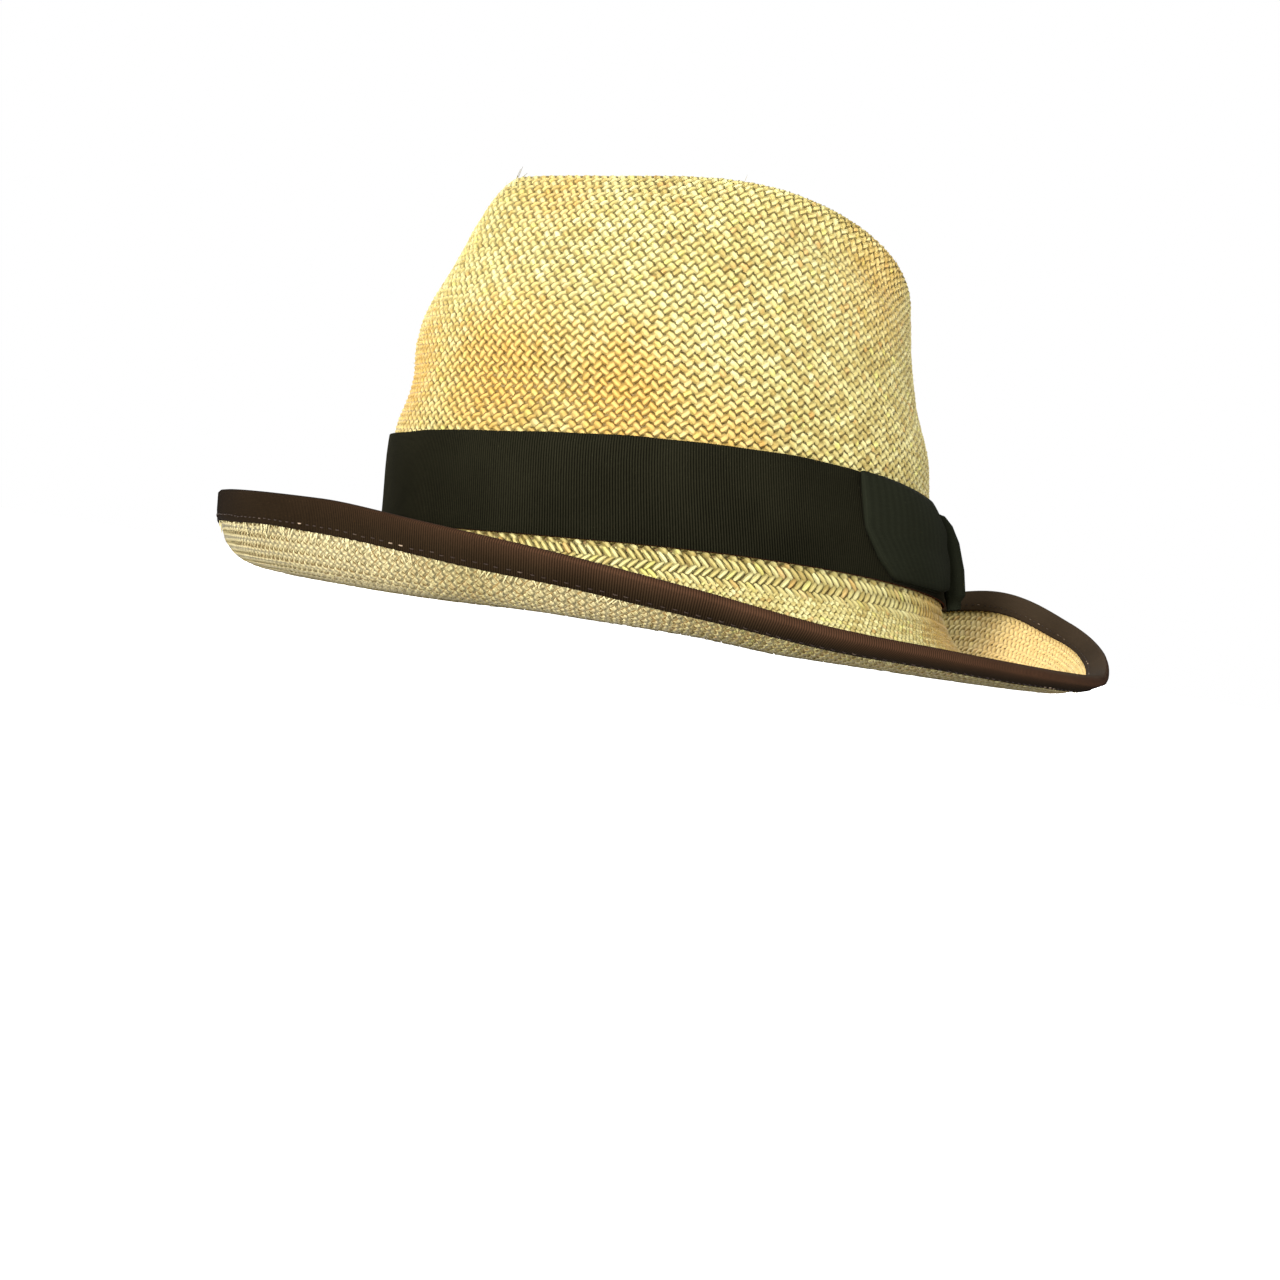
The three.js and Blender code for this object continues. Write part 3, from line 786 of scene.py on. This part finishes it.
# Straws that start inside the weave and stand off it: lean says how much they run round the hat, and
# rise how much of their length goes straight out.
def makeLoose(name, starts, width):
    starts = np.array(starts, float)
    angle, place, length, lean, rise = (starts[:, k:k + 1] for k in range(5))
    share = np.linspace(0, 1, 6)[None, :]
    run = length * share
    bend = share**1.5
    angles = angle + run * lean / 1.5 * (0.6 + 0.4 * bend)
    places = placeAt(lengthAt(place) + run * np.sqrt(np.clip(1 - lean**2, 0, 1)) * (1 - rise))
    course = layCourse(angles, places)
    lift = run * rise * (0.7 + 0.3 * bend) - form["wall"] / 2
    widths = width * (1 - 0.75 * share**2)
    tone = 0.05 + 0.4 * chance.uniform(0, 1, (len(starts), 1))
    layStraw(name, course, lift, widths, widths * 0.6, plainShades(tone, 0.25))


def scatter(count, low, high):
    return chance.uniform(low, high, count)


# Fine ends in the same columns as the strays, half of them on the crown and half on the brim.
def makeWhiskers():
    count = loose["whiskers"]
    onCrown = count // 2
    angles = scatter(count, 0, 360)
    places = np.concatenate([scatter(onCrown, *loose["crownPlaces"]),
                             scatter(count - onCrown, *loose["brimPlaces"])])
    lengths, leans, rises = scatter(count, 2, 5), scatter(count, -0.9, 0.9), scatter(count, 0.3, 0.8)
    makeLoose("fine_whiskers", np.stack([angles, places, lengths, leans, rises], 1), loose["whiskerWidth"])


def makeFringe():
    count = loose["fringe"]
    angle = np.sort(scatter(count, 0, 360))[:, None]
    share = np.linspace(0, 1, 5)[None, :]
    length = scatter(count, 1.5, 3.6)[:, None]
    place = placeAt(lengthAt(-form["bindingReach"]) - 1.0 + length * share)
    angles = angle + length * share * scatter(count, -0.35, 0.35)[:, None]
    course = layCourse(angles, place)
    lift = -form["wall"] - 0.1 - share * scatter(count, 0.1, 0.55)[:, None]
    shades = plainShades(scatter(count, 0.6, 1)[:, None])
    layStraw("binding_fringe", course, lift, loose["fringeWidth"] * (1 - 0.6 * share), 0.3, shades)


makeLoose("loose_straws", loose["strays"], loose["strayWidth"])
makeWhiskers()
makeFringe()
print("loose straws laid")


# A ribbon from its outer and inner faces, each an array of rows across it by columns along it. Each
# rib takes two columns, one of them raised.
def makeRibbonPiece(name, outer, inner, ribHeight, isRing, strips=1):
    columns = outer.shape[1]
    step = (np.roll(outer, -1, 1) - np.roll(outer, 1, 1)) if isRing else np.gradient(outer, axis=1)
    normal = unit(np.cross(step, np.gradient(outer, axis=0)))
    raised = outer + normal * (ribHeight * np.where(np.arange(columns) % 2, 1, -1))[None, :, None]
    points = np.concatenate([raised, inner[::-1]])
    rows = len(points)
    quads = gridQuads(rows, columns, isRing)
    spans = columns if isRing else columns - 1
    r, c = (v.ravel() for v in np.meshgrid(np.arange(rows), np.arange(spans), indexing="ij"))
    across = np.concatenate([np.linspace(0, 1, len(outer)), np.linspace(1, 0, len(inner))])
    ribbonMap = np.stack([np.stack([c, c, c + 1, c + 1], -1) / 2,
                          across[np.stack([r, (r + 1) % rows, (r + 1) % rows, r], -1)]], -1)
    strip = c * strips // spans
    u, oneStep = c * strips / spans - strip, strips / spans
    low, high = ((strip + 0.04 + 0.92 * edge / rows) / strips for edge in (r, r + 1))
    bakeMap = np.stack([np.stack([u, u, u + oneStep, u + oneStep], -1),
                        np.stack([low, high, high, low], -1)], -1)
    caps = np.zeros((0, 3), int)
    if not isRing:
        start = np.arange(rows) * columns
        fan = np.stack([np.zeros(rows - 2, int), np.arange(1, rows - 1), np.arange(2, rows)], -1)
        caps = np.concatenate([start[fan], (start + columns - 1)[fan[:, ::-1]]])
    capMap = np.zeros((len(caps) * 3, 2)) + 0.001
    maps = {"OFBake": np.concatenate([bakeMap.reshape(-1, 2), capMap]),
            "ribbon": np.concatenate([ribbonMap.reshape(-1, 2), capMap])}
    return makeMesh(name, points, quads, caps, maps)


band = {
    "ribs": 720,
    "ribHeight": 0.06,
    "rows": [0, 0.012, 0.12, 0.28, 0.44, 0.60, 0.76, 0.90, 0.988, 1],   # shares of its width
    "innerRows": [0, 5, 9],
    "edgeDip": 0.28,
    "wander": 0.1,           # how much it lies off the straw here and there
    "standOff": 0.9,         # how far its top edge stands away from the straw near the front
    "standOffAt": (-52, 34), # middle and half width of that, in degrees
    "slip": 0.010,           # how far its top edge has slipped down, as a place on the crown
    "slipAt": (-30, 45),
    "flat": (0.031, 0.575),
}


def makeBand():
    columns = band["ribs"] * 2
    angle = (np.arange(columns) * 360 / columns)[None, :]
    bottom, top = form["bandBottom"], form["bandTop"]
    share = np.array(band["rows"])[:, None]
    turn = np.radians(angle)

    def near(spot):
        return bump((np.mod(angle + 180 - spot[0], 360) - 180) / spot[1])

    away = near(band["standOffAt"]) * share**3 * band["standOff"]
    slack = band["wander"] * (np.sin(turn * 7 + share * 5) + np.sin(turn * 11 - share * 3 + 1))
    edge = band["edgeDip"] * (abs(share - 0.5) > 0.495)
    edgeWave = 0.0006 * np.sin(turn * 9) + 0.0004 * np.sin(turn * 23) - band["slip"] * near(band["slipAt"])
    place = bottom + (top - bottom) * share + edgeWave * share
    outer = skinOffset(angle, place, form["gap"] + form["ribbon"] + away + slack - edge)
    inner = skinOffset(angle, place[band["innerRows"]], form["gap"] + away[band["innerRows"]] - 0.1)
    piece = finishPiece(makeRibbonPiece("ribbon_band", outer, inner, band["ribHeight"], True, 8),
                        bandFinish, "hat_band")


binding = {
    "ribs": 1300,
    "ribHeight": 0.05,
    "stitches": 283,
    "stitchInset": 1.5,      # from the binding's inner edge
    "threadWidth": 0.34,
    "threadThick": 0.3,
    "pucker": 0.12,          # between the stitches, along both edges
    "rows": [0, 0.04, 0.45, 1],        # shares of the way from its inner edge to the fold
    "dips": [0.45, 0.05, 0, 0],        # how far each row sinks towards the straw
    "flat": (0.0165, 0.915),
}


def makeBinding():
    columns = binding["ribs"] * 2
    angle = (np.arange(columns) * 360 / columns)[None, :]
    outside = form["wall"] / 2 + form["gap"] + form["bindingRibbon"]
    turn = np.radians(angle)
    reach = form["bindingReach"] + 0.003 * np.sin(turn * 5 + 1) + 0.002 * np.sin(turn * 17)
    pucker = binding["pucker"] * np.cos(turn * binding["stitches"])
    middle = -form["wall"] / 2
    edgePoint = skinOffset(angle, -1.0, middle)
    up = skinNormal(angle, -1.0)
    out = unit(edgePoint - skinOffset(angle, -0.99, middle))

    def side(shares, dips, face):
        rows = []
        for share, dip in zip(shares, dips):
            place = -(reach + pucker * 0.006 * (share == 0)) * (1 - share) - share
            rows.append(skinOffset(angle, place, middle + face * (outside - dip)))
        return rows

    def aroundEdge(away, height):
        return edgePoint + out * away + up * height

    def wrapped(shares, dips, fold):
        rows = [*side(shares, dips, 1), *fold, *side(shares, dips, -1)[::-1]]
        return np.concatenate(rows).reshape(-1, columns, 3)

    outerFold = [aroundEdge((form["gap"] + form["bindingRibbon"]) * math.cos(t), outside * math.sin(t))
                 for t in (0.75, 0, -0.75)]
    outer = wrapped(binding["rows"], binding["dips"], outerFold)
    inner = wrapped([0, 1], [form["bindingRibbon"]] * 2, [aroundEdge(form["gap"], 0)])
    piece = finishPiece(makeRibbonPiece("ribbon_binding", outer, inner, binding["ribHeight"], True, 8),
                        bindingFinish, "brim_binding")


# Running stitches that hold the binding, close to its edge on both sides of the brim.
def makeStitches():
    count = binding["stitches"]
    share = np.linspace(-0.5, 0.5, 5)[None, :]
    angle = (np.arange(count)[:, None] + chance.normal(0, 0.05, (count, 1)) + share * 0.55) * 360 / count
    start = lengthAt(-form["bindingReach"]) - binding["stitchInset"]
    place = placeAt(start + chance.normal(0, 0.08, (count, 1)))
    face = form["gap"] + form["bindingRibbon"]
    rise = 0.14 - 0.5 * (2 * share) ** 4
    for name, lift in (("upper", face + rise), ("lower", -form["wall"] - face - rise)):
        shades = plainShades(chance.uniform(0, 1, (count, 1)))
        piece = sweepStrands(f"binding_stitches_{name}", layCourse(angle, place), lift,
                             binding["threadWidth"], binding["threadThick"], shades)
        finishPiece(piece, threadFinish, "brim_binding")


makeBand()
makeBinding()
makeStitches()
print("band and binding laid")

# The bow's lists run away from the knot, in degrees. Low, high and endUp are shares of the band's width.
bow = {
    "seat": 0.45,            # between the band and the bow's inner layer
    "thick": 0.6,
    "degreeLength": 1.55,    # of one degree round the band
    "away": [3.4, 9, 17, 28, 37, 43.5],
    "low": [0.26, 0.13, 0.05, 0.03, 0.03, 0.03],
    "high": [0.80, 0.91, 0.97, 0.99, 1, 1],
    "swell": [1.8, 3.2, 3.8, 3.0, 2.2, 1.6],
    "endUp": [0, 0.17, 0.44, 1],
    "endAway": [36, 40, 43, 43],
    "pleat": 0.55,           # depth of the folds beside the knot
    "pleats": 2.6,           # how many of them lie across a loop
    "pleatReach": 7.0,
    "valley": 0.5,           # depth of the long crease
    "valleyAt": (0.30, 0.13),          # its middle and half width, as shares of the loop's width
    "flat": (0.031, 0.122),
}
knot = {
    "up": [-0.05, 0.03, 0.09, 0.35, 0.65, 0.85, 0.97, 1.0],
    "halfAngle": [1.7, 1.8, 2.5, 3.0, 3.0, 2.8, 2.4, 1.9],
    "swell": [4.4, 4.9, 6.6, 7.4, 7.0, 5.4, 3.2, 1.2],
    "seat": 0.55,
    "ribs": 54,
    "ribHeight": 0.05,
    "squareness": 0.8,       # 1 gives a round section
    "creases": [(-0.45, 0.10, 0.55), (0.18, 0.09, 0.5), (0.55, 0.1, 0.4)],   # middle, half width, depth
    "flat": (0.0135, 0.037),
}


# A point over the band: up is a share of the band's width, out is measured from the band's face.
def overBand(angle, up, out):
    angle, up, out = np.broadcast_arrays(angle, up, out)
    width = form["bandTop"] - form["bandBottom"]
    within = np.clip(up, 0, 1)
    bottom, top = (skinPoint(angle, form[place]) for place in ("bandBottom", "bandTop"))
    face = form["gap"] + form["ribbon"]
    onBand = skinOffset(angle, form["bandBottom"] + width * within, face + out)
    return onBand + (top - bottom) * (up - within)[..., None]


def makeLoop(name, direction, node):
    across = np.linspace(0, 1, 21)[:, None]
    end = np.interp(across, bow["endUp"], bow["endAway"])
    first = bow["away"][0]
    outward = np.linspace(0, 1, 40)[None, :]
    bend = np.radians(np.linspace(0, 180, 9))[None, 1:-1]
    homeward = np.linspace(1, 0, 16)[None, :]

    def outerHeight(away):
        near = np.exp(-(away - first) / bow["pleatReach"])
        folds = bow["pleat"] * near * np.cos(math.tau * (across * bow["pleats"] + 0.1))
        middle, half = bow["valleyAt"]
        valley = bow["valley"] * np.exp(-((across - middle - (away - first) * 0.004) / half) ** 2)
        dome = 1 - 0.5 * abs(2 * across - 1) ** 4
        swell = np.interp(away, bow["away"], bow["swell"])
        return bow["seat"] + swell * dome + folds - valley * np.clip((away - 4) / 8, 0, 1)

    awayOut = first + (end - first) * outward
    highest = outerHeight(awayOut[:, -1:])
    radius = (highest - bow["seat"]) / 2
    awayBend = end + radius * np.sin(bend) / bow["degreeLength"]
    awayHome = first + (end - first) * homeward
    away = np.concatenate([awayOut, awayBend, awayHome], 1)
    out = np.concatenate([outerHeight(awayOut), bow["seat"] + radius + radius * np.cos(bend),
                          np.full_like(awayHome, bow["seat"])], 1)
    low, high = (np.interp(away, bow["away"], bow[key]) for key in ("low", "high"))
    sheet = overBand(form["knotAngle"] + direction * away, low + (high - low) * across, out)
    normal = unit(np.cross(np.gradient(sheet, axis=1), np.gradient(sheet, axis=0))) * direction
    half = bow["thick"] / 2
    outer, inner = sheet + normal * half, sheet - normal * half
    piece = finishPiece(makeRibbonPiece(name, outer, inner, 0.0, False), bowFinish, node)


def makeKnot():
    columns = knot["ribs"] * 2
    up = np.linspace(knot["up"][0], knot["up"][-1], columns)[None, :]
    halfAngle, swell = (np.interp(up, knot["up"], knot[key]) for key in ("halfAngle", "swell"))
    arc = np.radians(np.linspace(0, 180, 25))[:, None]
    across = -np.sign(np.cos(arc)) * abs(np.cos(arc)) ** knot["squareness"]
    height = np.sin(arc) ** knot["squareness"]
    folds = sum(depth * np.exp(-((across - middle - 0.12 * (up - 0.5)) / half) ** 2)
                for middle, half, depth in knot["creases"])
    out = knot["seat"] + swell * height - folds * height * np.clip(swell / 4, 0, 1)
    outer = overBand(form["knotAngle"] + across * halfAngle, up, out)
    innerAcross = np.array([[-0.9], [0], [0.9]])
    inner = overBand(form["knotAngle"] + innerAcross * halfAngle, up, knot["seat"] - 0.1)
    piece = finishPiece(makeRibbonPiece("bow_wrap", outer, inner, knot["ribHeight"], False),
                        bowFinish, "bow_knot")


makeLoop("bow_loop_front", -1, "bow_front_loop")
makeLoop("bow_loop_back", 1, "bow_back_loop")
makeKnot()
print("bow tied")

view = {
    "turn": 55.0,            # degrees round from the hat's front towards the wearer's left
    "lift": 1.0,
    "roll": 9.078,
    "shift": (10.115, 25.225, 588.365),   # where the brim line's middle lies before the camera, in mm
    "lens": 49.21875,
    "sensor": 36,
}


def makeCamera():
    turn, lift, roll = (math.radians(view[key]) for key in ("turn", "lift", "roll"))
    back = Vector((math.sin(turn) * math.cos(lift), -math.cos(turn) * math.cos(lift), math.sin(lift)))
    level = Vector((math.cos(turn), math.sin(turn), 0))
    upright = back.cross(level)
    right = level * math.cos(roll) + upright * math.sin(roll)
    up = upright * math.cos(roll) - level * math.sin(roll)
    x, y, z = view["shift"]
    spot = (Vector(hatOffset) - right * x - up * y + back * z) / metre
    data = bpy.data.cameras.new("camera")
    data.sensor_width = view["sensor"]
    data.lens = view["lens"]
    data.clip_start = 0.005
    camera = addObject("camera", data)
    camera.matrix_world = Matrix([*zip(right, up, back, spot), (0, 0, 0, 1)])
    bpy.context.scene.camera = camera


studio = {
    "floorRadius": 9.0,
    "floorColour": (0.84, 0.84, 0.83),
    "floorGlow": 1.4,
    "floorRoughness": 0.9,
    "world": 1.0,
    "aim": (0, 0, 0.06),      # what the lights point at
    "lights": [               # name, place, size and strength in watts
        ("key", (-0.1, -1.5, 1.5), 1.2, 5),
        ("side", (1.7, -0.2, 1.0), 1.2, 6),
        ("low", (0.80, -1.05, 0.13), 0.25, 43),
        ("top", (-0.2, -0.1, 1.9), 1.2, 22),
        ("back", (-0.9, 1.6, 1.0), 1.4, 24),
        ("right", (-1.7, 0.2, 0.8), 1.2, 26),
    ],
}


def makeStudio():
    bpy.ops.mesh.primitive_circle_add(vertices=128, radius=studio["floorRadius"], fill_type="NGON")
    floor = bpy.context.object
    floor.name = "floor"
    f = Finish("floor")
    colour = f.mixColours(f.noise(f.place(), 60.0) * 0.04, studio["floorColour"], (1.0, 1.0, 1.0))
    floor.data.materials.append(f.show(f.add("ShaderNodeBsdfPrincipled", {}, {
        "Base Color": colour, "Roughness": studio["floorRoughness"], "Specular IOR Level": 0.1,
        "Emission Color": (1.0, 1.0, 1.0, 1.0), "Emission Strength": studio["floorGlow"]})))
    world = bpy.data.worlds.new("studio")
    world.use_nodes = True
    background = world.node_tree.nodes["Background"]
    background.inputs["Color"].default_value = (1, 1, 1, 1)
    background.inputs["Strength"].default_value = studio["world"]
    bpy.context.scene.world = world
    for name, place, size, power in studio["lights"]:
        data = bpy.data.lights.new(name, "AREA")
        data.size = size
        data.energy = power
        light = addObject(name, data)
        light.location = place
        light.rotation_euler = (Vector(studio["aim"]) - light.location).to_track_quat("-Z", "Y").to_euler()


makeCamera()
makeStudio()
bpy.context.scene.view_settings.view_transform = "Standard"
print("studio set")
